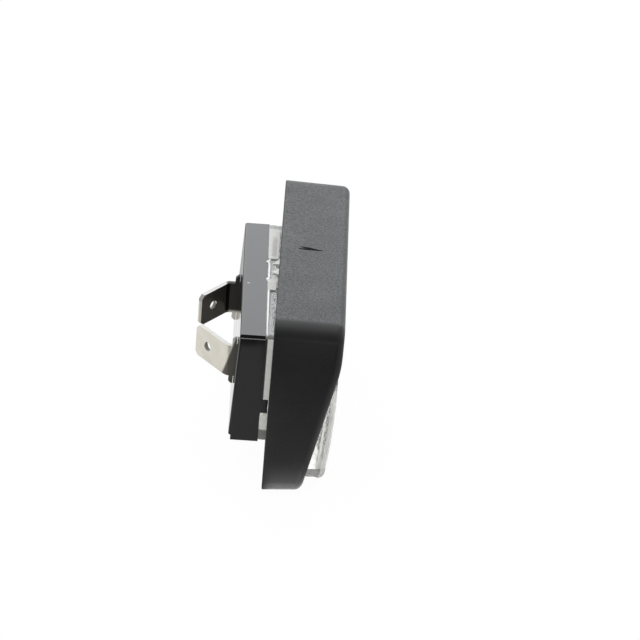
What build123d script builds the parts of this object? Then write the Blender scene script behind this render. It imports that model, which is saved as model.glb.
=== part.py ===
"""Number plate lamp: a black hood over a clear lens, with a festoon bulb in a black base behind them.

Millimetres. +X points out of the panel, +Y runs along the lamp and +Z is up.
The origin is the centre of the hood's rim, the face that lies on the panel.
"""

import os
from math import cos, radians, sin, sqrt, tan

from build123d import *

# Hood: outline at the rim, depth to the front, and the slope of the lower front
hood_length = 55.0
hood_height = 35.5
hood_depth = 12.2
hood_low_depth = 6.8
hood_bend_z = 9.0
hood_bend_radius = 26.0
hood_corner = 2.8
hood_edge = 1.5
hood_wall = 1.8
hood_rim_round = 0.25
hood_draft = 1.0
hood_low_draft = 4.5

# Moulded mark in the hood's top wall: two thin strokes that run together
mark_x = 5.4
mark_y = -0.05
mark_length = 4.5
mark_width = 0.5
mark_depth = 0.15
stroke_length = 3.3
stroke_turn = -11.0
stroke_back = 0.3
stroke_rise = 0.42

# Ribs under the hood's top wall, and the snap beads on its end walls
rib_thickness = 1.2
rib_spacing = 15.0
rib_start = 0.8
rib_end = 8.0
bead_length = 9.0
bead_height = 1.1
bead_depth = 1.4

# Lens: skirt through the panel, and the block that fills the hood's window
plug_height = 22.0
plug_corner = 0.8
skirt_wall = 1.6
joint_x = -1.9
lens_wall = 1.8
block_back = 4.2
block_top = 4.4
block_end_gap = 0.8
block_low_gap = 0.45
block_shoulder_gap = 0.25
block_top_step = 0.3
block_middle_step = 0.45
block_low_step = 1.3
block_corner = 1.4
window_gap = 0.25

# Flutes inside the lens front
flute_pitch = 2.4
flute_radius = 1.5
flute_depth = 0.85

# Guide wedges on the skirt's long sides, which centre the lamp in the panel's cut-out
wedge_width = 2.4
wedge_spacing = 3.4
wedge_y = 3.65
wedge_height = 0.6
wedge_tip = -1.2
wedge_end = 0.3

# Pads beside the wedges
pad_height = 0.25
pad_depth = 2.2
pad_far_y = 12.4
pad_far_length = 11.3
pad_mid_y = -2.35
pad_mid_length = 4.3
pad_end_height = 3.9
pad_end_z = -6.9
pad_end_corner = 0.8
pad_end_gap = 0.1

# Base, which sits a little askew on the lens
base_lean = 1.5
base_wall = 1.4
base_floor = -4.9
base_back_top = -6.4
base_back_bottom = -7.3
base_edge = 0.4
base_edge_step = 0.3
base_edge_step_height = 0.7
base_back_step = 0.45
base_back_step_height = 0.9
base_step_round = 0.3
tongue_width = 2.6
tongue_length = 1.2
tongue_thickness = 0.8
tongue_z = -3.5
tongue_corner = 0.5
tongue_gap = 0.1

# Contact strips with their outside tabs, of which the far one is bent a little further out
strip_width = 6.3
strip_thickness = 0.8
strip_bend_radius = 1.2
root_y = 11.0
far_bend_x = -9.0
near_bend_x = -8.2
tip_x = -14.0
tab_angle = 50.0
tab_hole = 1.6
tab_hole_from_tip = 3.6
hole_chamfer = 0.1
tab_chamfer = 1.0
tip_chamfer = 0.3
shoulder_width = 9.4
shoulder_length = 0.8
shoulder_chamfer = 0.5
shoulder_gap = 0.05
arm_from_tip = 0.8
arm_rise = 4.2
arm_chamfer = 1.2
leg_gap = 0.05
leg_bend_radius = 0.5
slot_gap = 0.1
contact_gap = 0.04
guide_thickness = 1.2
guide_top = -0.4

# Festoon bulb
bulb_length = 36.0
bulb_end_gap = 0.7
bulb_floor_gap = 0.25
glass_diameter = 10.5
glass_wall = 0.6
glass_length = 22.0
glass_neck_length = 1.8
glass_shoulder_length = 1.4
glass_round = 0.6
cap_diameter = 8.5
cap_wall = 0.3
cap_grip = 1.4
cap_cone_length = 2.4
cap_tip_diameter = 2.4
cap_round = 0.4
cap_gap = 0.05
lead_diameter = 0.4
lead_gap = 0.05
lead_overhang = 1.0
filament_diameter = 0.7
filament_length = 8.0

os.makedirs("parts", exist_ok=True)

# Hood and window
hood_slope = (hood_depth - hood_low_depth) / (hood_bend_z + hood_height / 2)
top_drop = hood_depth * tan(radians(hood_draft))
low_rise = hood_depth * tan(radians(hood_low_draft))
front_lift = (low_rise - top_drop) / 2
hood_inner_top = hood_height / 2 - hood_wall
hood_inner_end = hood_length / 2 - hood_wall
hood_front_wall = hood_wall * sqrt(1 + hood_slope**2)

# Lens, which takes its places from the hood and its length from the bulb
plug_length = bulb_length + 2 * (bulb_end_gap + skirt_wall)
half_plug_length = plug_length / 2
half_plug_height = plug_height / 2
skirt_inner_length = plug_length - 2 * skirt_wall
skirt_inner_height = plug_height - 2 * skirt_wall
block_length = 2 * (hood_inner_end - block_end_gap)
block_bottom = block_low_gap - hood_inner_top
block_middle = (block_top + block_bottom) / 2
block_front_top = hood_depth - block_top_step
block_front_middle = hood_depth - block_middle_step
block_front_bottom = hood_depth - block_low_step
block_foot = (block_back + block_front_bottom) / 2
block_shoulder = hood_depth - hood_slope * (hood_bend_z - block_top) - hood_front_wall - block_shoulder_gap
window_length = block_length + 2 * window_gap
window_top = block_top + window_gap
window_bottom = block_bottom - window_gap

# Base, with the place of base, strips and bulb on the lens
base_place = Location((0, 0, 0), (0, 0, base_lean))
base_middle = Plane(base_place * Plane.XZ.location)
joint_plane = Plane(base_place * Plane.YZ.offset(joint_x).location)
lean_reach = half_plug_length * tan(radians(base_lean))
back_middle = (base_back_top + base_back_bottom) / 2
back_slope = (base_back_top - base_back_bottom) / plug_height

# Bulb, which lies just above the base's floor
glass_radius = glass_diameter / 2
bulb_x = base_floor + bulb_floor_gap + glass_radius
glass_end_y = glass_length / 2
glass_neck_y = glass_end_y - glass_neck_length
glass_shoulder_y = glass_neck_y - glass_shoulder_length
cap_radius = cap_diameter / 2
cap_end_y = bulb_length / 2
cap_cone_y = cap_end_y - cap_cone_length
cap_mouth_y = glass_end_y - cap_grip
cone_slope = (cap_diameter - cap_tip_diameter) / 2 / cap_cone_length
neck_radius = cap_radius - cap_wall - cap_gap
bore_radius = lead_diameter / 2 + lead_gap

# Contact strips, from the base's floor to the cones of the bulb's caps
leg_x = base_floor + leg_gap + strip_thickness / 2
arm_y = cap_end_y - arm_from_tip
arm_top = bulb_x + arm_rise
contact_radius = cap_radius - (arm_y - strip_thickness / 2 - cap_cone_y) * cone_slope + contact_gap
shoulder_top_x = back_middle + back_slope * shoulder_width / 2 - shoulder_gap
shoulder_low_x = back_middle - back_slope * shoulder_width / 2 - shoulder_gap

# Outer shape of the hood, with its front sloping back to the low side
with BuildPart() as hood_shape:
    with BuildSketch(Plane.YZ):
        Rectangle(hood_length, hood_height)
    with BuildSketch(Plane.YZ.offset(hood_depth)):
        with Locations((0, front_lift)):
            Rectangle(hood_length - 2 * top_drop, hood_height - top_drop - low_rise)
    loft(ruled=True)
    fillet(hood_shape.edges().filter_by(lambda edge: abs(edge.tangent_at(0.5).X) > 0.5), hood_corner)
    with BuildSketch(Plane.XZ) as front_line:
        with BuildLine():
            Polyline(
                (-hood_depth, hood_height),
                (hood_depth, hood_height),
                (hood_depth, hood_bend_z),
                (hood_depth - hood_slope * (hood_bend_z + hood_height), -hood_height),
                (-hood_depth, -hood_height),
                close=True,
            )
        make_face()
        fillet(front_line.vertices().sort_by_distance((hood_depth, 0, hood_bend_z))[0], hood_bend_radius)
    extrude(amount=hood_length, both=True, mode=Mode.INTERSECT)
    front_faces = hood_shape.faces().filter_by(lambda face: face.normal_at().X > 0.5)
    front_edges = front_faces.edges().filter_by(
        lambda edge: abs(edge.center().Y) > 1 or abs(edge.center().Z - hood_bend_z) > hood_bend_z / 2
    )
    fillet(front_edges, hood_edge)
    fillet(hood_shape.faces().sort_by(Axis.X)[0].edges(), hood_rim_round)

# Hollow of the hood, one wall thickness inside its outer shape
with BuildPart() as hood_hollow:
    with BuildSketch(Plane.YZ):
        Rectangle(hood_length - 2 * hood_wall, hood_height - 2 * hood_wall)
    with BuildSketch(Plane.YZ.offset(hood_depth)):
        with Locations((0, front_lift)):
            Rectangle(
                hood_length - 2 * top_drop - 2 * hood_wall,
                hood_height - top_drop - low_rise - 2 * hood_wall,
            )
    loft(ruled=True)
    fillet(
        hood_hollow.edges().filter_by(lambda edge: abs(edge.tangent_at(0.5).X) > 0.5),
        hood_corner - hood_wall,
    )
    with BuildSketch(Plane.XZ):
        add(front_line.sketch)
        offset(amount=-hood_wall, kind=Kind.INTERSECTION, mode=Mode.REPLACE)
    extrude(amount=hood_length, both=True, mode=Mode.INTERSECT)

with BuildPart() as hood:
    add(hood_shape.part)
    add(hood_hollow.part, mode=Mode.SUBTRACT)
    # Window that the lens looks out of
    with BuildSketch(Plane.YZ.offset(block_back)):
        with Locations((0, (window_top + window_bottom) / 2)):
            window = Rectangle(window_length, window_top - window_bottom)
        fillet(window.vertices().group_by(Axis.Y)[0], block_corner)
    extrude(amount=hood_depth, mode=Mode.SUBTRACT)
    # Mark in the top wall
    with BuildSketch(Plane.XY.offset(hood_height / 2 - mark_x * tan(radians(hood_draft)) - mark_depth)):
        with Locations((mark_x, mark_y)):
            Ellipse(mark_length / 2, mark_width / 2)
        with Locations(Location((mark_x - stroke_back, mark_y + stroke_rise), stroke_turn)):
            Ellipse(stroke_length / 2, mark_width / 2)
    extrude(amount=2 * mark_depth, mode=Mode.SUBTRACT)
    # Ribs under the top wall, down to the lens
    with BuildSketch(Plane.YZ.offset(rib_start)):
        with Locations((0, (hood_inner_top + half_plug_height + window_gap) / 2)):
            with GridLocations(rib_spacing, 0, 3, 1):
                Rectangle(rib_thickness, hood_inner_top - half_plug_height - window_gap)
    extrude(amount=rib_end - rib_start)
    # Snap beads on the end walls, behind the lens
    with BuildSketch(Plane.XY) as bead_line:
        with BuildLine():
            Polyline(
                (block_back - window_gap, hood_inner_end),
                (block_back - window_gap, hood_inner_end - bead_height),
                (block_back - window_gap - bead_depth, hood_inner_end),
                close=True,
            )
        make_face()
        mirror(about=Plane.XZ)
    extrude(amount=bead_length / 2, both=True)
hood.part.label = "hood"
export_step(hood.part, "parts/hood.step")

# One guide wedge, arrow-shaped from above and rising towards the hood
with BuildPart() as wedge:
    with BuildSketch(Plane.XY.offset(-skirt_wall / 2)):
        with BuildLine():
            Polyline(
                (wedge_end, -wedge_width / 2),
                (wedge_end, wedge_width / 2),
                (wedge_tip, 0),
                close=True,
            )
        make_face()
    extrude(amount=skirt_wall / 2 + wedge_height)
    with BuildSketch(Plane.XZ):
        with BuildLine():
            Polyline(
                (wedge_end, -skirt_wall / 2),
                (wedge_end, wedge_height),
                (wedge_tip, 0),
                (wedge_tip, -skirt_wall / 2),
                close=True,
            )
        make_face()
    extrude(amount=wedge_width, both=True, mode=Mode.INTERSECT)

# Clear lens
with BuildPart() as lens:
    with BuildSketch(Plane.YZ.offset(joint_x - lean_reach)):
        RectangleRounded(plug_length, plug_height, plug_corner)
    extrude(amount=block_back - joint_x + lean_reach)
    # Pads on the skirt's ends
    with BuildSketch(Plane.XZ):
        with Locations((joint_x + lean_reach + pad_end_gap + pad_depth / 2, pad_end_z)):
            RectangleRounded(pad_depth, pad_end_height, pad_end_corner)
    extrude(amount=half_plug_length + pad_height, both=True)
    # Block, and its rounded front
    with BuildSketch(Plane.XZ) as block_line:
        with BuildLine():
            Polyline(
                (block_front_bottom, block_bottom),
                (block_back, block_bottom),
                (block_back, half_plug_height),
                (block_shoulder, half_plug_height),
                (block_shoulder, block_top),
                (block_front_top, block_top),
            )
            ThreePointArc(
                (block_front_top, block_top),
                (block_front_middle, block_middle),
                (block_front_bottom, block_bottom),
            )
        make_face()
    extrude(amount=block_length / 2, both=True)
    block_round = []
    for y in (-block_length / 2, block_length / 2):
        block_round += lens.edges().sort_by_distance((block_front_middle, y, block_middle))[:1]
        block_round += lens.edges().sort_by_distance((block_foot, y, block_bottom))[:1]
    block_round += lens.edges().sort_by_distance((block_front_bottom, 0, block_bottom))[:1]
    fillet(block_round, block_corner)
    # Hollow of skirt and block
    with BuildSketch(Plane.YZ.offset(joint_x - lean_reach)):
        RectangleRounded(skirt_inner_length, skirt_inner_height, plug_corner / 2)
    extrude(amount=block_back + lens_wall - joint_x + lean_reach, mode=Mode.SUBTRACT)
    with BuildSketch(Plane.XZ) as block_hollow:
        add(block_line.sketch)
        offset(amount=-lens_wall, kind=Kind.INTERSECTION, mode=Mode.REPLACE)
    extrude(amount=block_length / 2 - lens_wall, both=True, mode=Mode.SUBTRACT)
    # Flutes down the inside of the front
    flute_count = int((block_length - 2 * lens_wall) / flute_pitch)
    flute_plane = Plane(
        origin=(block_front_top - lens_wall, 0, block_top - lens_wall),
        x_dir=(0, 1, 0),
        z_dir=(block_front_bottom - block_front_top, 0, block_bottom - block_top),
    )
    with BuildSketch(flute_plane):
        with Locations((0, flute_depth - flute_radius)):
            with GridLocations(flute_pitch, 0, flute_count, 1):
                Circle(flute_radius)
    extrude(amount=block_top - block_bottom - 2 * lens_wall, mode=Mode.SUBTRACT)
    # Guide wedges above and below
    with Locations(Location((0, wedge_y, half_plug_height))):
        with Locations((0, wedge_spacing / 2, 0), (0, -wedge_spacing / 2, 0)):
            add(wedge.part)
    with Locations(Location((0, wedge_y, -half_plug_height), (180, 0, 0))):
        with Locations((0, wedge_spacing / 2, 0), (0, -wedge_spacing / 2, 0)):
            add(wedge.part)
    # Pads above and below
    with BuildSketch(Plane.YZ.offset(joint_x - lean_reach)):
        for side in (-1, 1):
            with Locations((pad_far_y, side * half_plug_height)):
                Rectangle(pad_far_length, 2 * pad_height)
            with Locations((pad_mid_y, side * half_plug_height)):
                Rectangle(pad_mid_length, 2 * pad_height)
        Rectangle(plug_length, plug_height - 2 * pad_height, mode=Mode.SUBTRACT)
    extrude(amount=pad_depth)
    # Joint with the base, and recesses for its tongues
    with BuildSketch(joint_plane):
        Rectangle(2 * plug_length, 2 * plug_height)
    extrude(amount=-2 * lean_reach, mode=Mode.SUBTRACT)
    with BuildSketch(joint_plane):
        with Locations((0, tongue_z)):
            with GridLocations(plug_length - tongue_thickness - tongue_gap, 0, 2, 1):
                Rectangle(tongue_thickness + tongue_gap, tongue_width + 2 * tongue_gap)
    extrude(amount=tongue_length + tongue_gap, mode=Mode.SUBTRACT)
lens.part.label = "lens"
export_step(lens.part, "parts/lens.step")

# Black base, built straight: a tray with a sloping back
with BuildPart() as tray:
    with BuildSketch(Plane.XZ):
        with BuildLine():
            Polyline(
                (joint_x, half_plug_height),
                (joint_x, -half_plug_height),
                (base_back_bottom, -half_plug_height),
                (base_back_top, half_plug_height),
                close=True,
            )
        make_face()
    extrude(amount=half_plug_length, both=True)
    fillet(tray.faces().sort_by(Axis.X)[0].edges(), base_edge)
    with BuildSketch(Plane.YZ.offset(joint_x)):
        Rectangle(plug_length - 2 * base_wall, plug_height - 2 * base_wall)
    extrude(amount=base_floor - joint_x, mode=Mode.SUBTRACT)
    # Tongues over the lens skirt
    with BuildSketch(Plane.YZ.offset(joint_x)):
        with Locations((0, tongue_z)):
            with GridLocations(plug_length - tongue_thickness, 0, 2, 1):
                Rectangle(tongue_thickness, tongue_width)
    extrude(amount=tongue_length)
    tongue_tips = tray.faces().sort_by(Axis.X)[-2:].edges().filter_by(Axis.Y)
    fillet(tongue_tips, tongue_corner)
    # Steps along the end walls' top edges and the back's bottom edge
    with BuildSketch(Plane.YZ.offset(joint_x)):
        with Locations((0, half_plug_height - base_edge_step_height / 2)):
            with GridLocations(plug_length - base_edge_step, 0, 2, 1):
                Rectangle(base_edge_step, base_edge_step_height)
    extrude(amount=base_back_bottom - joint_x, mode=Mode.SUBTRACT)
    with BuildSketch(Plane.XZ):
        with Locations((base_back_bottom, -half_plug_height)):
            Rectangle(base_back_step, base_back_step_height, align=Align.MIN)
    extrude(amount=half_plug_length, both=True, mode=Mode.SUBTRACT)
    step_edges = tray.edges().filter_by(Axis.Y)
    step_edge = step_edges.sort_by_distance((base_back_bottom, 0, base_back_step_height - half_plug_height))[0]
    fillet(step_edge, base_step_round)
    # Guides beside the contact arms
    with BuildSketch(Plane.YZ.offset(base_floor)):
        with GridLocations(2 * arm_y, strip_width + 2 * slot_gap + guide_thickness, 2, 2):
            Rectangle(guide_thickness, guide_thickness)
    extrude(amount=guide_top - base_floor)
    # Slots for the contact strips
    with BuildSketch(Plane.YZ.offset(base_floor)):
        with GridLocations(2 * root_y, 0, 2, 1):
            Rectangle(strip_thickness + 2 * slot_gap, strip_width + 2 * slot_gap)
    extrude(amount=base_back_bottom - base_floor, mode=Mode.SUBTRACT)

with BuildPart() as base:
    with Locations(base_place):
        add(tray.part)
base.part.label = "base"
export_step(base.part, "parts/base.step")


def contact_strip(bend_x):
    """Contact strip, built straight: tab outside, leg on the base's floor and arm at the end of the bulb."""
    tab_length = (bend_x - tip_x) / cos(radians(tab_angle))
    tip_y = root_y - tab_length * sin(radians(tab_angle))
    hole_x = tip_x + tab_hole_from_tip * cos(radians(tab_angle))
    hole_y = tip_y + tab_hole_from_tip * sin(radians(tab_angle))
    with BuildPart() as strip:
        with BuildSketch(Plane.XY):
            with BuildLine():
                FilletPolyline(
                    (arm_top, arm_y),
                    (leg_x, arm_y),
                    (leg_x, root_y),
                    (bend_x, root_y),
                    (tip_x, tip_y),
                    radius=(leg_bend_radius, leg_bend_radius, strip_bend_radius),
                )
            trace(line_width=strip_thickness)
        extrude(amount=strip_width / 2, both=True)
        # Shoulder that lies along the base's sloping back
        with BuildSketch(Plane.XZ.offset(-root_y)) as shoulder:
            with BuildLine():
                Polyline(
                    (shoulder_top_x, shoulder_width / 2),
                    (shoulder_low_x, -shoulder_width / 2),
                    (shoulder_low_x - shoulder_length, -shoulder_width / 2),
                    (shoulder_top_x - shoulder_length, shoulder_width / 2),
                    close=True,
                )
            make_face()
            chamfer(shoulder.vertices().sort_by(Axis.X)[:2], shoulder_chamfer)
        extrude(amount=strip_thickness / 2, both=True)
        # Corners of tab and arm, and the tab's thinned tip
        for z in (-strip_width / 2, strip_width / 2):
            chamfer(strip.edges().sort_by_distance((tip_x, tip_y, z))[0], tab_chamfer)
            chamfer(strip.edges().sort_by_distance((arm_top, arm_y, z))[0], arm_chamfer)
        tip_edges = strip.edges().filter_by(Axis.Z).sort_by_distance((tip_x, tip_y, 0))[:2]
        chamfer(tip_edges, tip_chamfer)
        # Hole in the tab, and the one that the bulb's cone sits in
        tab_plane = Plane(
            origin=(hole_x, hole_y, 0),
            x_dir=(0, 0, 1),
            z_dir=(sin(radians(tab_angle)), -cos(radians(tab_angle)), 0),
        )
        with BuildSketch(tab_plane):
            Circle(tab_hole / 2)
        extrude(amount=strip_thickness, both=True, mode=Mode.SUBTRACT)
        hole_rims = strip.edges().filter_by(GeomType.CIRCLE).sort_by_distance((hole_x, hole_y, 0))[:2]
        chamfer(hole_rims, hole_chamfer)
        with BuildSketch(Plane.XZ.offset(-arm_y)):
            with Locations((bulb_x, 0)):
                Circle(contact_radius)
        extrude(amount=strip_thickness, both=True, mode=Mode.SUBTRACT)
    return strip.part


far_strip = contact_strip(far_bend_x)
near_strip = contact_strip(near_bend_x)

with BuildPart() as terminal_far:
    with Locations(base_place):
        add(far_strip)
terminal_far.part.label = "terminal_far"
export_step(terminal_far.part, "parts/terminal_far.step")

# The near strip is turned end for end about the base's middle
with BuildPart() as near_copy:
    with Locations(base_place):
        add(near_strip)
with BuildPart() as terminal_near:
    mirror(near_copy.part, about=base_middle)
terminal_near.part.label = "terminal_near"
export_step(terminal_near.part, "parts/terminal_near.step")

# Festoon bulb: a glass tube with a closed neck at each end
bulb_plane = Plane(base_place * Location((bulb_x, 0, 0)))
bulb_axis = Axis(bulb_plane.origin, bulb_plane.y_dir)
with BuildPart() as bulb_glass:
    with BuildSketch(bulb_plane):
        with BuildLine():
            outside = FilletPolyline(
                (glass_radius, 0),
                (glass_radius, glass_shoulder_y),
                (neck_radius, glass_neck_y),
                (neck_radius, glass_end_y),
                (bore_radius, glass_end_y),
                (bore_radius, glass_end_y - glass_wall),
                (neck_radius - glass_wall, glass_end_y - glass_wall),
                (neck_radius - glass_wall, glass_neck_y),
                (glass_radius - glass_wall, glass_shoulder_y),
                (glass_radius - glass_wall, 0),
                radius=(glass_round, glass_round, 0, 0, 0, 0, 0, 0),
            )
            Line(outside @ 1, outside @ 0)
        make_face()
        mirror(about=Plane.XZ)
    revolve(axis=bulb_axis)
bulb_glass.part.label = "bulb_glass"
export_step(bulb_glass.part, "parts/bulb_glass.step")

# Metal cap with a conical end
with BuildPart() as bulb_cap_far:
    with BuildSketch(bulb_plane):
        with BuildLine():
            shell = FilletPolyline(
                (0, cap_end_y - cap_wall),
                (cap_tip_diameter / 2 - cap_wall / 2 * cone_slope, cap_end_y - cap_wall),
                (cap_radius - cap_wall, cap_cone_y - 1.5 * cap_wall + cap_wall / cone_slope),
                (cap_radius - cap_wall, cap_mouth_y),
                (cap_radius, cap_mouth_y),
                (cap_radius, cap_cone_y),
                (cap_tip_diameter / 2, cap_end_y),
                (0, cap_end_y),
                radius=(0, 0, 0, 0, 0, cap_round),
            )
            Line(shell @ 1, shell @ 0)
        make_face()
    revolve(axis=bulb_axis)
bulb_cap_far.part.label = "bulb_cap_far"
export_step(bulb_cap_far.part, "parts/bulb_cap_far.step")

with BuildPart() as bulb_cap_near:
    mirror(bulb_cap_far.part, about=base_middle)
bulb_cap_near.part.label = "bulb_cap_near"
export_step(bulb_cap_near.part, "parts/bulb_cap_near.step")

# Filament between its two lead wires
with BuildPart() as bulb_filament:
    with BuildSketch(base_middle):
        with Locations((bulb_x, 0)):
            Circle(filament_diameter / 2)
    extrude(amount=filament_length / 2, both=True)
bulb_filament.part.label = "bulb_filament"
export_step(bulb_filament.part, "parts/bulb_filament.step")

with BuildPart() as bulb_lead_far:
    with BuildSketch(base_middle.offset(-filament_length / 2)):
        with Locations((bulb_x, 0)):
            Circle(lead_diameter / 2)
    extrude(amount=filament_length / 2 - glass_end_y - lead_overhang)
bulb_lead_far.part.label = "bulb_lead_far"
export_step(bulb_lead_far.part, "parts/bulb_lead_far.step")

with BuildPart() as bulb_lead_near:
    mirror(bulb_lead_far.part, about=base_middle)
bulb_lead_near.part.label = "bulb_lead_near"
export_step(bulb_lead_near.part, "parts/bulb_lead_near.step")
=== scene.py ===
"""Looks of a number plate lamp: hood, lens, base, tinned tabs and a festoon bulb.

Everything is in metres in the lamp's own frame: +X points out of the panel, +Y runs along the lamp
and +Z is up. Sizes of pieces are written in millimetres and turned to metres where a mesh or a
pattern needs them. Sizes of the studio are written in metres.
"""

import logging
import math
from dataclasses import dataclass
from enum import Enum
from typing import Any

import bpy
from mathutils import Euler, Matrix, Vector


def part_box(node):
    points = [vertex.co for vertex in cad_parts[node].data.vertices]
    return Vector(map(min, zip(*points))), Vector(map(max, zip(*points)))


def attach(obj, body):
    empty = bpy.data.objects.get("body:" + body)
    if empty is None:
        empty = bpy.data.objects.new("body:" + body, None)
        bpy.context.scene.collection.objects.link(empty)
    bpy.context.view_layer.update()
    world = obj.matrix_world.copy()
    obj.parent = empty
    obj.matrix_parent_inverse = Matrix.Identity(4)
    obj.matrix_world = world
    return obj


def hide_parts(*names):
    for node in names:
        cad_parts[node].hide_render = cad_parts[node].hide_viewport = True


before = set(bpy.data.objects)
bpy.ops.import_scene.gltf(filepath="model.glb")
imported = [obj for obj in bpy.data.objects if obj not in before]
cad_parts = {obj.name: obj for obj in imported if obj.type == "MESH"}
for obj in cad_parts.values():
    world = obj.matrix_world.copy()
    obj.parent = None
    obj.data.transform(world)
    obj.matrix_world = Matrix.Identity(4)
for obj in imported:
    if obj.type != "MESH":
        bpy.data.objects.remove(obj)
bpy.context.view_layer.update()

log = logging.getLogger("number_plate_lamp")

MM = 0.001
WHITE = "#ffffff"

# The base sits askew on the lens by this angle, with its contacts and its bulb
BASE_LEAN_DEG = 1.5

# Nearly all values of a noise texture lie between the first two, and the third is their middle
NOISE_LOW = 0.3
NOISE_HIGH = 0.7
NOISE_MIDDLE = 0.5

Place = tuple[float, float, float]
Span = tuple[float, float]


class Slot(Enum):
    """The record's material slots, by the piece that wears each."""

    HOOD = "hood_plastic"
    LENS = "lens_plastic"
    BASE = "base_plastic"
    TAB = "terminal_metal"
    GLASS = "bulb_glass"
    CAP = "cap_metal"
    WIRE = "wire_metal"


class End(Enum):
    """The lamp's two ends, by the name that their nodes carry."""

    FAR = "far"
    NEAR = "near"


class Way(Enum):
    """The ways in which a patch on a surface can fade in: the three axes and two slants."""

    OUT = (1.0, 0.0, 0.0)
    ALONG = (0.0, 1.0, 0.0)
    UP = (0.0, 0.0, 1.0)
    TAB_SLANT = (1.0, 0.0, -0.27)
    FLOOR_SLANT = (1.0, 0.51, 0.0)


class Swell(Enum):
    """How thick the weld flash is at a point, against its usual thickness, and none at a crumb."""

    CRUMB = 0.0
    THIN = 0.55
    USUAL = 1.0
    NIB = 1.7


# Small helpers


def linear(colour: str) -> tuple[float, float, float, float]:
    """Turns an sRGB hex colour into linear light.

    Args:
        colour: Six hex digits after a hash sign.

    Returns:
        Red, green, blue and a full alpha.
    """
    parts = [int(colour[i : i + 2], 16) / 255 for i in (1, 3, 5)]
    red, green, blue = (c / 12.92 if c <= 0.04045 else ((c + 0.055) / 1.055) ** 2.4 for c in parts)
    return red, green, blue, 1.0


def per_mm(size_mm: float) -> float:
    """Gives the texture scale at which one feature of a pattern is size_mm wide."""
    return 1 / (size_mm * MM)


def add_node(
    tree: bpy.types.NodeTree,
    kind: str,
    settings: dict[Any, Any] | None = None,
    links: dict[Any, bpy.types.NodeSocket] | None = None,
) -> bpy.types.Node:
    """Adds one node with its settings and links.

    Args:
        tree: Node tree that gets the node.
        kind: Blender's type name of the node.
        settings: Values by the name of an attribute, or by the name or number of an input.
        links: Output sockets by the name or number of the input that each one feeds.

    Returns:
        The new node.
    """
    node = tree.nodes.new(kind)
    for key, value in (settings or {}).items():
        if isinstance(key, str) and key not in node.inputs and hasattr(node, key):
            setattr(node, key, value)
        else:
            node.inputs[key].default_value = value
    for key, socket in (links or {}).items():
        tree.links.new(socket, node.inputs[key])
    return node


def link_object(name: str, data: bpy.types.ID) -> bpy.types.Object:
    """Puts a mesh, a light or a camera into the scene.

    Args:
        name: Name of the new object.
        data: Its mesh, light or camera.

    Returns:
        The object, at the origin.
    """
    made = bpy.data.objects.new(name, data)
    bpy.context.scene.collection.objects.link(made)
    return made


def grow(
    name: str, seed_mesh: bpy.types.Mesh, tree: bpy.types.NodeTree, inputs: dict[str, Any]
) -> bpy.types.Object:
    """Grows a piece with a Geometry Nodes tree and keeps its mesh.

    Args:
        name: Name of the piece.
        seed_mesh: Mesh that the tree starts from.
        tree: The Geometry Nodes tree.
        inputs: Values by the name of the tree's input.

    Returns:
        The piece, with a plain mesh and no modifier.
    """
    piece = link_object(name, seed_mesh)
    modifier = piece.modifiers.new(name, "NODES")
    modifier.node_group = tree
    for item in tree.interface.items_tree:
        if item.in_out == "INPUT" and item.name in inputs:
            modifier[item.identifier] = inputs[item.name]
    graph = bpy.context.evaluated_depsgraph_get()
    mesh = bpy.data.meshes.new_from_object(piece.evaluated_get(graph))
    piece.modifiers.remove(modifier)
    piece.data = mesh
    return piece


def shape_tree(
    name: str, inputs: dict[str, str]
) -> tuple[bpy.types.NodeTree, bpy.types.NodeOutputs]:
    """Starts a Geometry Nodes tree with named inputs and one output.

    Args:
        name: Name of the tree.
        inputs: Kind of socket by the name of each input.

    Returns:
        The tree, and the sockets that give its inputs.
    """
    tree = bpy.data.node_groups.new(name, "GeometryNodeTree")
    for label, kind in inputs.items():
        tree.interface.new_socket(label, in_out="INPUT", socket_type=kind)
    tree.interface.new_socket("Shape", in_out="OUTPUT", socket_type="NodeSocketGeometry")
    return tree, add_node(tree, "NodeGroupInput").outputs


def end_tree(
    tree: bpy.types.NodeTree, shape: bpy.types.NodeSocket, material: bpy.types.NodeSocket
) -> None:
    """Ends a Geometry Nodes tree with real, smooth meshes in their material.

    Args:
        tree: The tree.
        shape: Socket that gives the finished shape.
        material: Socket that gives its material.
    """
    real = add_node(tree, "GeometryNodeRealizeInstances", links={"Geometry": shape})
    smooth = add_node(tree, "GeometryNodeSetShadeSmooth", links={"Geometry": real.outputs[0]})
    dressed = add_node(
        tree,
        "GeometryNodeSetMaterial",
        links={"Geometry": smooth.outputs[0], "Material": material},
    )
    add_node(tree, "NodeGroupOutput", links={"Shape": dressed.outputs[0]})


# Finishes


@dataclass(frozen=True)
class SoftEdge:
    """A soft step from none to all along a way, from one distance in millimetres to another."""

    way: Way
    start_mm: float
    end_mm: float


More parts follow.
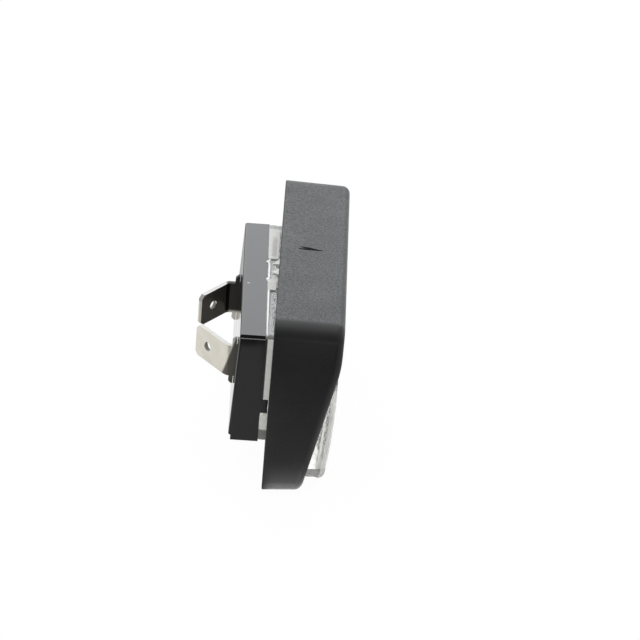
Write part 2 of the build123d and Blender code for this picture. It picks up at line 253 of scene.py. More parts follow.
@dataclass(frozen=True)
class Shade:
    """A patch of a surface with its own brightness, inside all of its edges."""

    level: float
    edges: tuple[SoftEdge, ...]

    def lay(
        self, tree: bpy.types.NodeTree, place: bpy.types.NodeSocket, below: bpy.types.NodeSocket
    ) -> bpy.types.NodeSocket:
        """Lays this patch over the brightness below it.

        Args:
            tree: Node tree of the shader.
            place: Socket that gives the point.
            below: Socket that gives the brightness so far.

        Returns:
            The socket that gives the brightness with this patch.
        """
        share = add_node(tree, "ShaderNodeValue").outputs[0]
        share.default_value = 1.0
        for edge in self.edges:
            distance = add_node(
                tree,
                "ShaderNodeVectorMath",
                {"operation": "DOT_PRODUCT", 1: edge.way.value},
                {0: place},
            )
            share = add_node(
                tree,
                "ShaderNodeMapRange",
                {
                    "interpolation_type": "SMOOTHSTEP",
                    "From Min": edge.start_mm * MM,
                    "From Max": edge.end_mm * MM,
                },
                {"Value": distance.outputs["Value"], "To Max": share},
            ).outputs["Result"]
        mixed = add_node(
            tree,
            "ShaderNodeMix",
            {"data_type": "FLOAT", "B": self.level},
            {"Factor": share, "A": below},
        )
        return mixed.outputs["Result"]


@dataclass(frozen=True)
class Finish:
    """A surface with small bumps in it and soft clouds over it.

    The bumps follow relief_mm and relief_height_mm, and stretch draws them out along an axis. The
    clouds follow cloud_mm. The colour runs from dark to pale with clouds and bumps together, by
    relief_share, the roughness with the clouds, and the sheen with the bumps, by sheen_spread.
    Shades lie over the colour as painted light and shade, in given patches of the surface.
    """

    name: str = "plain"
    dark: str = "#808080"
    pale: str = "#909090"
    cloud_mm: float = 6.0
    cloud_detail: float = 3.0
    relief_mm: float = 1.0
    relief_detail: float = 2.0
    relief_height_mm: float = 0.01
    relief_share: float = 0.5
    stretch: Place = (1.0, 1.0, 1.0)
    roughness: Span = (0.4, 0.5)
    sheen: float = 0.5
    sheen_spread: float = 0.0
    ior: float = 1.5
    metallic: float = 0.0
    transmission: float = 0.0
    shades: tuple[Shade, ...] = ()

    def brightness(
        self, tree: bpy.types.NodeTree, place: bpy.types.NodeSocket
    ) -> bpy.types.NodeSocket:
        """Lays all shades over a full brightness.

        Args:
            tree: The material's node tree.
            place: Socket that gives the point.

        Returns:
            The socket that gives the brightness.
        """
        level = add_node(tree, "ShaderNodeValue").outputs[0]
        level.default_value = 1.0
        for shade in self.shades:
            level = shade.lay(tree, place, level)
        return level

    def material(self) -> bpy.types.Material:
        """Gives the Blender material of this finish, made at its first use.

        Returns:
            The material.
        """
        made = bpy.data.materials.get(self.name)
        if made is None:
            made = bpy.data.materials.new(self.name)
            made.use_nodes = True
            tree = made.node_tree
            tree.nodes.clear()
            surface = self.wire(tree).outputs[0]
            add_node(tree, "ShaderNodeOutputMaterial", links={"Surface": surface})
        return made

    def wire(self, tree: bpy.types.NodeTree) -> bpy.types.Node:
        """Wires the shader.

        Args:
            tree: The material's empty node tree.

        Returns:
            The node whose first output is the surface.
        """
        place = add_node(tree, "ShaderNodeTexCoord").outputs["Object"]
        drawn = add_node(tree, "ShaderNodeMapping", {"Scale": self.stretch}, {"Vector": place})
        relief = add_node(
            tree,
            "ShaderNodeTexNoise",
            {"Scale": per_mm(self.relief_mm), "Detail": self.relief_detail},
            {"Vector": drawn.outputs["Vector"]},
        ).outputs["Fac"]
        cloud = add_node(
            tree,
            "ShaderNodeTexNoise",
            {"Scale": per_mm(self.cloud_mm), "Detail": self.cloud_detail},
            {"Vector": place},
        ).outputs["Fac"]
        blend = add_node(
            tree,
            "ShaderNodeMix",
            {"data_type": "FLOAT", "Factor": self.relief_share},
            {"A": cloud, "B": relief},
        )
        tint = add_node(tree, "ShaderNodeValToRGB", links={"Fac": blend.outputs["Result"]})
        first, last = tint.color_ramp.elements
        first.position, first.color = NOISE_LOW, linear(self.dark)
        last.position, last.color = NOISE_HIGH, linear(self.pale)
        colour = tint.outputs["Color"]
        if self.shades:
            level = self.brightness(tree, place)
            colour = add_node(
                tree, "ShaderNodeVectorMath", {"operation": "SCALE"}, {0: colour, "Scale": level}
            ).outputs[0]
        noise_span = {"From Min": NOISE_LOW, "From Max": NOISE_HIGH}
        smoothest, roughest = self.roughness
        dullness = add_node(
            tree,
            "ShaderNodeMapRange",
            {**noise_span, "To Min": smoothest, "To Max": roughest},
            {"Value": cloud},
        )
        bump = add_node(
            tree,
            "ShaderNodeBump",
            {"Distance": self.relief_height_mm * MM, "Strength": 1.0},
            {"Height": relief},
        )
        links = {
            "Base Color": colour,
            "Roughness": dullness.outputs["Result"],
            "Normal": bump.outputs["Normal"],
        }
        if self.sheen_spread:
            low, high = self.sheen - self.sheen_spread, self.sheen + self.sheen_spread
            links["Specular IOR Level"] = add_node(
                tree,
                "ShaderNodeMapRange",
                {**noise_span, "To Min": low, "To Max": high},
                {"Value": relief},
            ).outputs["Result"]
        return add_node(
            tree,
            "ShaderNodeBsdfPrincipled",
            {
                "IOR": self.ior,
                "Metallic": self.metallic,
                "Transmission Weight": self.transmission,
                "Specular IOR Level": self.sheen,
            },
            links,
        )


@dataclass(frozen=True)
class GrainedPlastic(Finish):
    """Black ABS moulded against a spark-eroded tool: dull, with a grain that breaks up its sheen.

    The grain is drawn coarser than the real one, so that it shows.
    """

    name: str = "grained_black_abs"
    dark: str = "#0e0e0f"
    pale: str = "#161617"
    cloud_mm: float = 9.0
    relief_mm: float = 0.4
    relief_height_mm: float = 0.03
    roughness: Span = (0.5, 0.58)
    sheen_spread: float = 0.2


@dataclass(frozen=True)
class FinePlastic(GrainedPlastic):
    """The hood's ABS on its end walls, drawn off the tool along the grain: half dull and even."""

    name: str = "fine_black_abs"
    relief_height_mm: float = 0.006
    roughness: Span = (0.25, 0.31)
    sheen_spread: float = 0.0


@dataclass(frozen=True)
class RubbedPlastic(GrainedPlastic):
    """The same ABS on the rounded edges of the ends: the grain rubbed flat, as dull as the top."""

    name: str = "rubbed_black_abs"
    relief_height_mm: float = 0.006
    roughness: Span = (0.5, 0.56)
    sheen_spread: float = 0.0


@dataclass(frozen=True)
class MarkedPlastic(GrainedPlastic):
    """The hood's ABS in the moulded mark: rough, with hardly any sheen, so it reads as black."""

    name: str = "marked_black_abs"
    dark: str = "#1c1c1d"
    pale: str = "#2a2a2b"
    roughness: Span = (0.85, 0.95)
    sheen: float = 0.05
    sheen_spread: float = 0.0


@dataclass(frozen=True)
class SmoothPlastic(Finish):
    """Black polyamide from a polished tool: shiny, with faint waves in its mirror images."""

    name: str = "smooth_black_polyamide"
    dark: str = "#0e0e0f"
    pale: str = "#141415"
    cloud_mm: float = 7.0
    relief_mm: float = 5.0
    relief_height_mm: float = 0.012
    roughness: Span = (0.06, 0.1)
    sheen: float = 0.44


@dataclass(frozen=True)
class LedgeHighlightPlastic(SmoothPlastic):
    """The base's plastic on the ledges of its ends: a painted highlight, as a dull grey line."""

    name: str = "ledge_highlight_polyamide"
    dark: str = "#808080"
    pale: str = "#a4a4a3"
    relief_mm: float = 0.5
    roughness: Span = (0.45, 0.6)


@dataclass(frozen=True)
class ClearPlastic(Finish):
    """Clear moulded polycarbonate: see-through, rippled, and a little milky as it gathers light."""

    name: str = "clear_polycarbonate"
    dark: str = "#dcdeda"
    pale: str = "#f4f5f2"
    cloud_mm: float = 2.0
    relief_mm: float = 0.9
    relief_height_mm: float = 0.09
    roughness: Span = (0.03, 0.08)
    ior: float = 1.49
    transmission: float = 0.78


@dataclass(frozen=True)
class PolishedPlastic(ClearPlastic):
    """The same polycarbonate from the tool's polished front: so clear that flutes and bulb show."""

    name: str = "polished_polycarbonate"
    dark: str = "#e7e8e4"
    pale: str = "#f5f5f1"
    relief_mm: float = 3.0
    relief_height_mm: float = 0.006
    roughness: Span = (0.0, 0.02)
    transmission: float = 0.9


@dataclass(frozen=True)
class EdgePlastic(ClearPlastic):
    """The same polycarbonate on the front's round ends: pale, as light comes out of the wall."""

    name: str = "edge_lit_polycarbonate"
    dark: str = "#f0f0ed"
    pale: str = "#fefefc"
    relief_height_mm: float = 0.02
    roughness: Span = (0.15, 0.25)
    transmission: float = 0.5
    # Painted shade: the round ends darker above their foot, so they are lightest at the bottom
    shades: tuple[Shade, ...] = (Shade(0.86, (SoftEdge(Way.UP, -12.5, -10.0),)),)


# Keeps a patch to the tops of the lens's pads
ON_PAD_TOP = SoftEdge(Way.UP, 10.9, 11.02)


@dataclass(frozen=True)
class FrostedPlastic(ClearPlastic):
    """The same polycarbonate from a matt part of the tool, on pads and ends: pale and clouded."""

    name: str = "frosted_polycarbonate"
    dark: str = "#eae8e2"
    pale: str = "#fdfcf7"
    relief_mm: float = 0.6
    relief_height_mm: float = 0.02
    roughness: Span = (0.4, 0.5)
    transmission: float = 0.12
    shades: tuple[Shade, ...] = (
        # Painted shade on the foot of the ends, below the base's tongue, where the dark inside
        # shows
        Shade(0.3, (SoftEdge(Way.UP, -8.1, -8.5),)),
        # Painted shade on the tops of the pads, and more of it on the far end of the far one
        Shade(0.72, (ON_PAD_TOP,)),
        Shade(0.5, (ON_PAD_TOP, SoftEdge(Way.ALONG, 17.6, 18.0))),
        # Painted shade: a grey streak along the far pad, for the dark recess seen through it
        Shade(
            0.5,
            (
                ON_PAD_TOP,
                SoftEdge(Way.ALONG, 15.5, 13.5),
                SoftEdge(Way.ALONG, 7.0, 8.0),
                SoftEdge(Way.OUT, -1.7, -1.3),
                SoftEdge(Way.OUT, -0.5, -0.8),
            ),
        ),
        # The near end next to the base
        Shade(
            0.04,
            (
                SoftEdge(Way.ALONG, -20.0, -20.2),
                SoftEdge(Way.UP, -2.9, -2.3),
                SoftEdge(Way.OUT, -0.9, -1.05),
            ),
        ),
    )


@dataclass(frozen=True)
class WeldPlastic(Finish):
    """Polycarbonate squeezed from the hot joint: dull, and whitish with tiny bubbles."""

    name: str = "whitened_polycarbonate"
    dark: str = "#e9eae9"
    pale: str = "#fbfbfa"
    cloud_mm: float = 1.5
    relief_mm: float = 0.25
    relief_height_mm: float = 0.02
    roughness: Span = (0.35, 0.5)


@dataclass(frozen=True)
class DrawnMetal(Finish):
    """Bare or plated metal: bright mirror images, drawn out a little by fine lines along one way.

    The lines are drawn coarser than real ones, so that they show.
    """

    cloud_mm: float = 3.0
    relief_mm: float = 0.12
    relief_height_mm: float = 0.0015
    relief_share: float = 0.3
    roughness: Span = (0.2, 0.3)
    metallic: float = 1.0


# Keeps the painted dark reflection to the part of a strip that comes out of the base
OUT_OF_BASE = SoftEdge(Way.OUT, -5.5, -6.0)


@dataclass(frozen=True)
class TinnedBrass(DrawnMetal):
    """Tinned brass strip of the tabs: warm silver with rolling lines, painted dark reflection by
    the base.
    """

    name: str = "tinned_brass"
    dark: str = "#cbc7bb"
    pale: str = "#dad6cb"
    stretch: Place = (1.0, 1.0, 0.05)
    roughness: Span = (0.14, 0.22)
    metallic: float = 0.92
    shades: tuple[Shade, ...] = (
        # Painted dark reflection on the root of the near strip
        Shade(
            0.15,
            (
                SoftEdge(Way.TAB_SLANT, -8.2, -7.75),
                OUT_OF_BASE,
                SoftEdge(Way.ALONG, 1.0, -1.0),
            ),
        ),
        # Painted dark reflection on the root of the far strip
        Shade(
            0.05,
            (
                SoftEdge(Way.OUT, -9.6, -9.2),
                OUT_OF_BASE,
                SoftEdge(Way.ALONG, -1.0, 1.0),
                SoftEdge(Way.UP, -3.2, -2.4),
            ),
        ),
    )


@dataclass(frozen=True)
class ShearedBrass(TinnedBrass):
    """Cut edges of the strip, where the tin ends: bare brass, dulled by the cutting."""

    name: str = "sheared_brass"
    dark: str = "#7e7d7a"
    pale: str = "#9b9a97"
    roughness: Span = (0.3, 0.4)


@dataclass(frozen=True)
class PunchedBrass(ShearedBrass):
    """Torn walls of the tabs' punched holes: grey and so rough that they mirror nothing."""

    name: str = "punched_brass"
    dark: str = "#8c8b86"
    pale: str = "#a3a29c"
    roughness: Span = (0.7, 0.9)
    metallic: float = 0.0


@dataclass(frozen=True)
class NickelPlate(DrawnMetal):
    """Nickel-plated brass of the bulb's caps: cooler and duller than the tabs, with draw lines."""

    name: str = "nickel_plated_brass"
    dark: str = "#a9a8a4"
    pale: str = "#d6d5d0"
    stretch: Place = (1.0, 0.05, 1.0)


@dataclass(frozen=True)
class TungstenWire(DrawnMetal):
    """Drawn tungsten of filament and leads: dark grey metal with draw lines along the bulb."""

    name: str = "tungsten_wire"
    dark: str = "#6b6a68"
    pale: str = "#8f8e8b"
    stretch: Place = (1.0, 0.1, 1.0)


@dataclass(frozen=True)
class LampGlass(Finish):
    """Drawn soda glass of the bulb: clear and glossy, with faint draw lines along the tube."""

    name: str = "bulb_soda_glass"
    dark: str = "#f6f8f6"
    pale: str = "#fdfefd"
    cloud_mm: float = 5.0
    relief_mm: float = 1.2
    relief_height_mm: float = 0.006
    stretch: Place = (1.0, 0.08, 1.0)
    roughness: Span = (0.0, 0.02)
    ior: float = 1.52
    transmission: float = 1.0


# Limits that several patches of the board share

LEFT_LIMIT = SoftEdge(Way.FLOOR_SLANT, -40.0, -37.0)
RIGHT_LIMIT = SoftEdge(Way.OUT, 55.0, 45.0)
HOOD_SIDE = SoftEdge(Way.OUT, 0.0, 2.0)
BASE_SIDE = SoftEdge(Way.OUT, 2.0, 0.0)
IN_FRONT = SoftEdge(Way.ALONG, -3.0, -9.0)


@dataclass(frozen=True)
class PaleFloor(Finish):
    """Matt white board under the lamp: it meets the white background and takes the lamp's shadow.

    Its patches are painted reflections, shown only in mirror images: darker in front of the board
    and to its right, brighter at the foot of the hood and behind it, so that smooth walls mirror
    what the real ones do, while the tabs still mirror the board. Each patch lies over those before
    it.
    """

    name: str = "white_board"
    pale: str = "#f4f4f2"
    glow: float = 0.97
    shades: tuple[Shade, ...] = (
        # Painted dark reflections: the front of the board, its right side, and close before the
        # lamp
        Shade(0.4, (SoftEdge(Way.ALONG, -36.0, -42.0), RIGHT_LIMIT)),
        Shade(0.4, (SoftEdge(Way.ALONG, 6.0, -2.0), SoftEdge(Way.OUT, 27.0, 33.0))),
        Shade(0.4, (LEFT_LIMIT, IN_FRONT, SoftEdge(Way.OUT, 20.0, 12.0))),
        # A painted bright reflection, brighter than white, at the foot of the hood's end wall
        Shade(
            3.0,
            (
                SoftEdge(Way.OUT, -1.0, 2.0),
                SoftEdge(Way.OUT, 12.0, 8.0),
                SoftEdge(Way.ALONG, -38.0, -27.0),
            ),
        ),
        # What the base's end wall mirrors
        Shade(0.68, (LEFT_LIMIT, IN_FRONT, SoftEdge(Way.OUT, 2.0, -0.5))),
        # The dark and the half dark that the hood's end wall mirrors further up
        Shade(0.02, (SoftEdge(Way.ALONG, -54.0, -66.0), HOOD_SIDE, RIGHT_LIMIT)),
        Shade(0.5, (SoftEdge(Way.ALONG, -72.0, -78.0), HOOD_SIDE, RIGHT_LIMIT)),
        # The dark that the base's end wall mirrors at its top
        Shade(0.02, (SoftEdge(Way.ALONG, -62.5, -65.5), BASE_SIDE)),
        # A painted bright reflection behind the hood, and a painted half dark behind the base
        Shade(1.8, (SoftEdge(Way.ALONG, 30.0, 50.0), SoftEdge(Way.OUT, -2.0, 8.0))),
        Shade(0.5, (SoftEdge(Way.ALONG, 38.0, 48.0), SoftEdge(Way.OUT, -3.0, -6.0))),
    )

    def wire(self, tree: bpy.types.NodeTree) -> bpy.types.Node:
        """Wires a board that is white to the eye and shows its patches in mirrors.

        Args:
            tree: The material's empty node tree.

        Returns:
            The node whose first output is the surface.
        """
        path = add_node(tree, "ShaderNodeLightPath").outputs
        place = add_node(tree, "ShaderNodeTexCoord").outputs["Object"]
        mirrored = add_node(
            tree,
            "ShaderNodeMapRange",
            {"To Min": 1.0},
            {"Value": path["Is Glossy Ray"], "To Max": self.brightness(tree, place)},
        )
        seen = path["Is Camera Ray"]
        for ray in ("Is Glossy Ray", "Is Transmission Ray"):
            seen = add_node(
                tree, "ShaderNodeMath", {"operation": "MAXIMUM"}, {0: seen, 1: path[ray]}
            ).outputs[0]
        share = add_node(
            tree, "ShaderNodeMath", {"operation": "MULTIPLY", 1: self.glow}, {0: seen}
        )
        board = add_node(tree, "ShaderNodeBsdfDiffuse", {"Color": linear(self.pale)})
        white = add_node(
            tree,
            "ShaderNodeEmission",
            {"Color": linear(WHITE)},
            {"Strength": mirrored.outputs["Result"]},
        )
        return add_node(
            tree,
            "ShaderNodeMixShader",
            links={"Fac": share.outputs[0], 1: board.outputs[0], 2: white.outputs[0]},
        )


# Pieces


def dress(node: str, finish: Finish) -> bpy.types.Object:
    """Puts a finish on a CAD node, whose shape stays as it is.

    Args:
        node: Name of the CAD node.
        finish: What it is made of.

    Returns:
        The node's object.
    """
    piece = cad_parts[node]
    piece.data.materials.clear()
    piece.data.materials.append(finish.material())
    log.info("%s wears %s", node, finish.name)
    return piece


def add_finishes(piece: bpy.types.Object, *finishes: Finish) -> range:
    """Gives a piece more finishes, for some of its faces.

    Args:
        piece: The piece, which already wears one finish.
        finishes: What those faces look like.

    Returns:
        The number that a face takes for each finish.
    """
    first = len(piece.data.materials)
    for finish in finishes:
        piece.data.materials.append(finish.material())
    return range(first, first + len(finishes))


@dataclass
class Housing:
    """Hood, lens and base: the three mouldings.

    A name that ends in facing is a limit for the share of a face's normal along an axis.
    """

    level_facing: float = 0.9

    hood_finish: Finish = GrainedPlastic()
    wall_finish: Finish = FinePlastic()
    wall_facing: float = 0.95
    edge_finish: Finish = RubbedPlastic()
    edge_facing: float = 0.1
    mark_finish: Finish = MarkedPlastic()
    mark_floor: float = 17.506
    mark_floor_error: float = 0.02
    mark_reach: float = 1.0
    mark_side_facing: float = 0.3

    lens_finish: Finish = ClearPlastic()
    pad_finish: Finish = FrostedPlastic()
    pad_start: float = 11.05
    skirt_front: float = 0.9
    skirt_end: Span = (20.25, 20.7)
    front_finish: Finish = PolishedPlastic()
    front_start: float = 6.0
    front_facing: float = 0.7
    round_finish: Finish = EdgePlastic()
    round_start: float = 7.5
    round_facing: Span = (0.2, 0.97)
    round_out_facing: float = 0.15

    base_finish: Finish = SmoothPlastic()
    # Painted highlight: a pale grey line on the ledges of the base's end walls
    ledge_highlight_finish: Finish = LedgeHighlightPlastic()
    ledge_height: Span = (10.2, 10.4)

    def build(self) -> None:
        """Dresses the three mouldings and the parts of each that have a finish of their own."""
        self.part_hood(dress("hood", self.hood_finish))
        self.part_lens(dress("lens", self.lens_finish))
        self.paint_ledge_highlight(dress("base", self.base_finish))

    def part_hood(self, hood: bpy.types.Object) -> None:
        """Gives the hood's end walls and their round edges finer finishes, and its mark a dull one.

        Args:
            hood: The hood, which already wears its grained finish.
        """
        wall, edge, mark = add_finishes(
            hood, self.wall_finish, self.edge_finish, self.mark_finish
        )
        for face in hood.data.polygons:
            _, y, z = face.center / MM
            across, up = abs(face.normal.y), face.normal.z
            at_floor = abs(z - self.mark_floor) < self.mark_floor_error
            on_floor = at_floor and up > self.level_facing
            on_side = z > self.mark_floor and abs(up) < self.mark_side_facing
            if abs(y) < self.mark_reach and (on_floor or on_side):
                face.material_index = mark
            elif across > self.wall_facing:
                face.material_index = wall
            elif across > self.edge_facing:
                face.material_index = edge

    def part_lens(self, lens: bpy.types.Object) -> None:
        """Gives pads and skirt ends, the front with its flutes, and its round ends their finishes.

        Args:
            lens: The lens, which already wears its clear finish.
        """
        pad, front, round_end = add_finishes(
            lens, self.pad_finish, self.front_finish, self.round_finish
        )
        end_start, end_stop = self.skirt_end
        least, most = self.round_facing
        for face in lens.data.polygons:
            x, y, z = face.center / MM
            across, out = abs(face.normal.y), face.normal.x
            on_pad = abs(z) > self.pad_start and x < self.skirt_front
            turned = least < across < most and out > self.round_out_facing
            if on_pad or end_start < abs(y) < end_stop:
                face.material_index = pad
            elif x > self.round_start and turned:
                face.material_index = round_end
            elif x > self.front_start and across < self.front_facing:
                face.material_index = front

    def paint_ledge_highlight(self, base: bpy.types.Object) -> None:
        """Gives the ledges along the top of the base's end walls their painted highlight in pale
        grey.

        Args:
            base: The base, which already wears its smooth finish.
        """
        (ledge,) = add_finishes(base, self.ledge_highlight_finish)
        low, high = self.ledge_height
        for face in base.data.polygons:
            if low < face.center.z / MM < high and face.normal.z > self.level_facing:
                face.material_index = ledge


@dataclass(frozen=True)
class Station:
    """A point of the weld flash: its place along the lamp, swell and distance off the joint."""

    y: float
    swell: Swell
    off_joint: float = 0.0


@dataclass
class WeldFlash:
    """Pale flash along the welded joint of lens and base, with nibs, and crumbs on the base."""

    joint_x: float = -1.62
    top_z: float = 11.0
    stations: tuple[Station, ...] = (
        Station(8.0, Swell.THIN),
        Station(6.3, Swell.USUAL),
        Station(5.8, Swell.NIB, -0.25),
        Station(5.2, Swell.USUAL),
        Station(0.1, Swell.USUAL),
        Station(-0.5, Swell.NIB, -0.2),
        Station(-1.1, Swell.USUAL),
        Station(-12.0, Swell.USUAL),
        Station(-20.0, Swell.THIN),
    )
    thickness: float = 0.25
    section_points: int = 10
    step: float = 0.15
    sway: float = 0.16
    sway_length: float = 1.3
    sway_detail: float = 2.0
    crumbs: tuple[Place, ...] = ((-5.44, -2.19, 11.02), (-5.2, -2.2, 11.0))
    crumb_size: float = 0.13
    crumb_roundness: int = 3
    crumb_least: Place = (0.7, 0.6, 0.3)
    crumb_most: Place = (1.3, 1.0, 0.5)
    seed: int = 7
    finish: Finish = WeldPlastic()

    def seed_mesh(self) -> bpy.types.Mesh:
        """Makes the mesh that the flash grows from.

        Returns:
            A line along the joint with a swell at each point, and loose points for the crumbs.
        """
        points = [(self.joint_x + stop.off_joint, stop.y, self.top_z) for stop in self.stations]
        swells = [stop.swell.value for stop in self.stations]
        lines = [(i, i + 1) for i in range(len(points) - 1)]
        points += self.crumbs
        swells += [Swell.CRUMB.value] * len(self.crumbs)
        mesh = bpy.data.meshes.new("weld_flash_path")
        mesh.from_pydata(points, lines, [])
        lean = Matrix.Rotation(math.radians(BASE_LEAN_DEG), 4, "Z")
        mesh.transform(lean @ Matrix.Scale(MM, 4))
        mesh.attributes.new("swell", "FLOAT", "POINT").data.foreach_set("value", swells)
        return mesh

    def tree(self) -> bpy.types.NodeTree:
        """Makes the tree that lays an uneven bead along a path and a crumb on each loose point.

        Returns:
            The Geometry Nodes tree.
        """
        tree, given = shape_tree(
            "weld_flash",
            {
                "Path": "NodeSocketGeometry",
                "Thickness": "NodeSocketFloat",
                "Step": "NodeSocketFloat",
                "Sway": "NodeSocketFloat",
                "Crumb Size": "NodeSocketFloat",
                "Seed": "NodeSocketInt",
                "Material": "NodeSocketMaterial",
            },
        )
        swell = add_node(
            tree, "GeometryNodeInputNamedAttribute", {"data_type": "FLOAT", "Name": "swell"}
        ).outputs[0]
        line = add_node(tree, "GeometryNodeMeshToCurve", links={"Mesh": given["Path"]})
        even = add_node(
            tree,
            "GeometryNodeResampleCurve",
            {"mode": "LENGTH"},
            {"Curve": line.outputs[0], "Length": given["Step"]},
        )
        noise = add_node(
            tree,
            "ShaderNodeTexNoise",
            {
                "noise_dimensions": "4D",
                "Scale": per_mm(self.sway_length),
                "Detail": self.sway_detail,
            },
            {"W": given["Seed"]},
        )
        centred = add_node(
            tree,
            "ShaderNodeVectorMath",
            {"operation": "SUBTRACT", 1: (NOISE_MIDDLE,) * 3},
            {0: noise.outputs["Color"]},
        )
        sway = add_node(
            tree,
            "ShaderNodeVectorMath",
            {"operation": "SCALE"},
            {0: centred.outputs[0], "Scale": given["Sway"]},
        )
        swayed = add_node(
            tree,
            "GeometryNodeSetPosition",
            links={"Geometry": even.outputs[0], "Offset": sway.outputs[0]},
        )
        section = add_node(
            tree,
            "GeometryNodeCurvePrimitiveCircle",
            {"Resolution": self.section_points},
            {"Radius": given["Thickness"]},
        )
        bead = add_node(
            tree,
            "GeometryNodeCurveToMesh",
            {"Fill Caps": True},
            {"Curve": swayed.outputs[0], "Profile Curve": section.outputs[0], "Scale": swell},
        )
        loose = add_node(
            tree,
            "FunctionNodeCompare",
            {"data_type": "FLOAT", "operation": "LESS_THAN", "B": Swell.THIN.value / 2},
            {"A": swell},
        )
        spots = add_node(
            tree,
            "GeometryNodeMeshToPoints",
            links={"Mesh": given["Path"], "Selection": loose.outputs[0]},
        )
        ball = add_node(
            tree,
            "GeometryNodeMeshIcoSphere",
            {"Subdivisions": self.crumb_roundness},
            {"Radius": given["Crumb Size"]},
        )
        sizes = add_node(
            tree,
            "FunctionNodeRandomValue",
            {"data_type": "FLOAT_VECTOR", 0: self.crumb_least, 1: self.crumb_most},
            {"Seed": given["Seed"]},
        )
        crumbs = add_node(
            tree,
            "GeometryNodeInstanceOnPoints",
            links={
                "Points": spots.outputs[0],
                "Instance": ball.outputs[0],
                "Scale": sizes.outputs[0],
            },
        )
        both = add_node(tree, "GeometryNodeJoinGeometry", links={0: crumbs.outputs[0]})
        tree.links.new(bead.outputs[0], both.inputs[0])
        end_tree(tree, both.outputs[0], given["Material"])
        return tree

    def build(self) -> None:
        """Grows the flash, which rides on the lamp."""
        inputs = {
            "Thickness": self.thickness * MM,
            "Step": self.step * MM,
            "Sway": self.sway * MM,
            "Crumb Size": self.crumb_size * MM,
            "Seed": self.seed,
            "Material": self.finish.material(),
        }
        flash = grow("weld_flash", self.seed_mesh(), self.tree(), inputs)
        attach(flash, "root")
        log.info("weld_flash has %d faces", len(flash.data.polygons))


@dataclass
class Contacts:
    """The two bent strips with their outside tabs.

    A name that ends in facing is a limit for the share of a face's normal along a direction.
    """

    finish: Finish = TinnedBrass()
    edge_finish: Finish = ShearedBrass()
    edge_facing: float = 0.6
    hole_finish: Finish = PunchedBrass()
    hole_span: Span = (-13.0, -10.8)
    hole_reach: float = 0.85
    hole_facing: float = 0.5

    def build(self) -> None:
        """Dresses both strips, with duller finishes on their cut edges and in their holes."""
        for end in End:
            self.part_strip(dress(f"terminal_{end.value}", self.finish))

    def part_strip(self, strip: bpy.types.Object) -> None:
        """Gives a strip's upper and lower edges and the walls of its tab's hole their finishes.

        Args:
            strip: The strip, which already wears its tin.
        """
        edge, hole = add_finishes(strip, self.edge_finish, self.hole_finish)
        low, high = self.hole_span
        tab = [face for face in strip.data.polygons if face.center.x / MM < high]
        flat = max(tab, key=lambda face: face.area)
        for face in strip.data.polygons:
            x, _, z = face.center / MM
            in_hole = low < x < high and abs(z) < self.hole_reach
            if in_hole and abs(face.normal.dot(flat.normal)) < self.hole_facing:
                face.material_index = hole
            elif abs(face.normal.z) > self.edge_facing:
                face.material_index = edge


@dataclass
class Bulb:
    """The festoon bulb: glass, two caps, leads and a coiled filament."""

    glass_finish: Finish = LampGlass()
    cap_finish: Finish = NickelPlate()
    wire_finish: Finish = TungstenWire()
    coil_turns: float = 29.0
    coil_radius: float = 0.28
    coil_overlap: float = 0.4
    turn_points: int = 14
    wire_radius: float = 0.06
    wire_points: int = 7

    def build(self) -> None:
        """Dresses the bulb's pieces and winds its filament."""
        dress("bulb_glass", self.glass_finish)
        for end in End:
            dress(f"bulb_cap_{end.value}", self.cap_finish)
            dress(f"bulb_lead_{end.value}", self.wire_finish)
        self.wind_coil()

    def coil_tree(self) -> bpy.types.NodeTree:
        """Makes the tree that winds a wire round an axis.

        Returns:
            The Geometry Nodes tree.
        """
        tree, given = shape_tree(
            "filament_coil",
            {
                "Turns": "NodeSocketFloat",
                "Radius": "NodeSocketFloat",
                "Length": "NodeSocketFloat",
                "Wire Radius": "NodeSocketFloat",
                "Material": "NodeSocketMaterial",
            },
        )
        spiral = add_node(
            tree,
            "GeometryNodeCurveSpiral",
            {"Resolution": self.turn_points},
            {
                "Rotations": given["Turns"],
                "Start Radius": given["Radius"],
                "End Radius": given["Radius"],
                "Height": given["Length"],
            },
        )
        section = add_node(
            tree,
            "GeometryNodeCurvePrimitiveCircle",
            {"Resolution": self.wire_points},
            {"Radius": given["Wire Radius"]},
        )
        wound = add_node(
            tree,
            "GeometryNodeCurveToMesh",
            {"Fill Caps": True},
            {"Curve": spiral.outputs[0], "Profile Curve": section.outputs[0]},
        )
        end_tree(tree, wound.outputs[0], given["Material"])
        return tree

    def wind_coil(self) -> None:
        """Winds the filament between the ends of its leads, in place of the plain rod."""
        low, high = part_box("bulb_filament")
        lean = math.radians(BASE_LEAN_DEG)
        length = (high.y - low.y) / math.cos(lean) + 2 * self.coil_overlap * MM
        inputs = {
            "Turns": self.coil_turns,
            "Radius": self.coil_radius * MM,
            "Length": length,
            "Wire Radius": self.wire_radius * MM,
            "Material": self.wire_finish.material(),
        }
        seed_mesh = bpy.data.meshes.new("filament_coil")
        coil = grow("filament_coil", seed_mesh, self.coil_tree(), inputs)
        onto_middle = Matrix.Translation((0.0, 0.0, -length / 2))
        onto_axis = Matrix.Rotation(lean, 4, "Z") @ Matrix.Rotation(-math.pi / 2, 4, "X")
        coil.data.transform(Matrix.Translation((low + high) / 2) @ onto_axis @ onto_middle)
        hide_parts("bulb_filament")
        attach(coil, "root")
        log.info("filament_coil has %d faces", len(coil.data.polygons))


# Studio


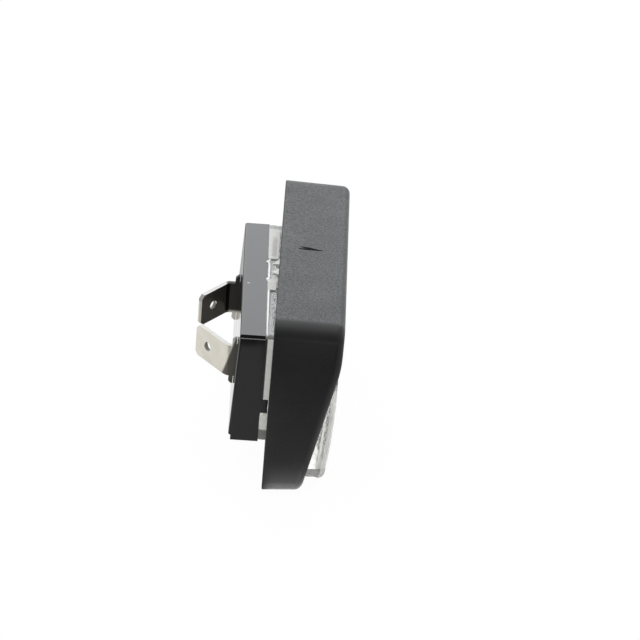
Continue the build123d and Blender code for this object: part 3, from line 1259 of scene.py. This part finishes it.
@dataclass(frozen=True)
class SoftBox:
    """A lamp with a soft rectangular face, which is white at a radiance of 1."""

    name: str
    place: Place
    size: Span
    radiance: float
    colour: str

    def hang(self) -> None:
        """Hangs the box in its place, with its face towards the part."""
        light = bpy.data.lights.new(self.name, "AREA")
        light.color = linear(self.colour)[:3]
        light.shape = "RECTANGLE"
        light.size, light.size_y = self.size
        light.energy = self.radiance * math.pi * self.size[0] * self.size[1]
        box = link_object(self.name, light)
        box.location = self.place
        box.rotation_euler = (-Vector(self.place)).to_track_quat("-Z", "Y").to_euler()


@dataclass
class Studio:
    """Floor, soft boxes, white surroundings and the camera."""

    floor_size: float = 4.0
    floor_lean_deg: float = 4.5
    floor_finish: Finish = PaleFloor()
    soft_boxes: tuple[SoftBox, ...] = (
        SoftBox("back_soft_box", (0.0, 0.62, 0.38), (0.9, 0.6), 2.4, "#f7fbff"),
        SoftBox("top_soft_box", (-0.1, 0.0, 0.8), (0.8, 0.8), 1.0, WHITE),
    )
    surround: float = 0.8
    front_mirror: float = 0.2
    front_span: Span = (-0.2, -0.8)
    camera_place_mm: Place = (-1.16, -417.56, 255.57)
    camera_elevation_deg: float = 31.159
    camera_yaw_deg: float = 1.289
    camera_roll_deg: float = 5.296
    camera_lens_mm: float = 150.1
    camera_clip_start: float = 0.01

    def build(self) -> None:
        """Makes the whole studio."""
        self.lay_floor()
        for box in self.soft_boxes:
            box.hang()
        self.surround_in_white()
        self.set_camera()

    def lay_floor(self) -> None:
        """Lays the board that the hood's low wall stands on."""
        low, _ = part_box("hood")
        half = self.floor_size / 2
        corners = [(-half, -half, 0.0), (half, -half, 0.0), (half, half, 0.0), (-half, half, 0.0)]
        mesh = bpy.data.meshes.new("floor")
        mesh.from_pydata(corners, [], [(0, 1, 2, 3)])
        lean = Matrix.Rotation(-math.radians(self.floor_lean_deg), 4, "Y")
        mesh.transform(Matrix.Translation((0.0, 0.0, low.z)) @ lean)
        mesh.materials.append(self.floor_finish.material())
        board = link_object("floor", mesh)

    def surround_in_white(self) -> None:
        """Makes surroundings: white to the eye, weaker as a light, and dim in front in mirrors."""
        world = bpy.data.worlds.new("white_surroundings")
        world.use_nodes = True
        tree = world.node_tree
        tree.nodes.clear()
        path = add_node(tree, "ShaderNodeLightPath").outputs
        way = add_node(tree, "ShaderNodeTexCoord").outputs["Generated"]
        axes = add_node(tree, "ShaderNodeSeparateXYZ", links={"Vector": way}).outputs
        start, stop = self.front_span
        mirrored = add_node(
            tree,
            "ShaderNodeMapRange",
            {
                "interpolation_type": "SMOOTHSTEP",
                "From Min": start,
                "From Max": stop,
                "To Min": 1.0,
                "To Max": self.front_mirror,
            },
            {"Value": axes["Y"]},
        )
        seen = add_node(
            tree,
            "ShaderNodeMath",
            {"operation": "MAXIMUM"},
            {0: path["Is Camera Ray"], 1: path["Is Transmission Ray"]},
        )
        level = add_node(
            tree,
            "ShaderNodeMapRange",
            {"To Min": self.surround, "To Max": 1.0},
            {"Value": seen.outputs[0]},
        )
        strength = add_node(
            tree,
            "ShaderNodeMix",
            {"data_type": "FLOAT"},
            {
                "Factor": path["Is Glossy Ray"],
                "A": level.outputs["Result"],
                "B": mirrored.outputs["Result"],
            },
        )
        sky = add_node(
            tree,
            "ShaderNodeBackground",
            {"Color": linear(WHITE)},
            {"Strength": strength.outputs["Result"]},
        )
        add_node(tree, "ShaderNodeOutputWorld", links={"Surface": sky.outputs[0]})
        bpy.context.scene.world = world

    def set_camera(self) -> None:
        """Sets the camera at the photograph's viewing angle."""
        data = bpy.data.cameras.new("camera")
        data.lens = self.camera_lens_mm
        data.clip_start = self.camera_clip_start
        eye = link_object("camera", data)
        place = Matrix.Translation(Vector(self.camera_place_mm) * MM)
        tilt, yaw = math.radians(90 - self.camera_elevation_deg), math.radians(self.camera_yaw_deg)
        aim = Euler((tilt, 0.0, -yaw)).to_matrix().to_4x4()
        roll = Matrix.Rotation(math.radians(self.camera_roll_deg), 4, "Z")
        eye.matrix_world = place @ aim @ roll
        bpy.context.scene.camera = eye


def main() -> None:
    """Builds the lamp's looks in order."""
    logging.basicConfig(level=logging.INFO)
    bpy.context.scene.view_settings.view_transform = "Standard"
    for piece in (Housing(), WeldFlash(), Contacts(), Bulb(), Studio()):
        piece.build()
        log.info("%s is built", type(piece).__name__)


if __name__ == "__main__":
    main()
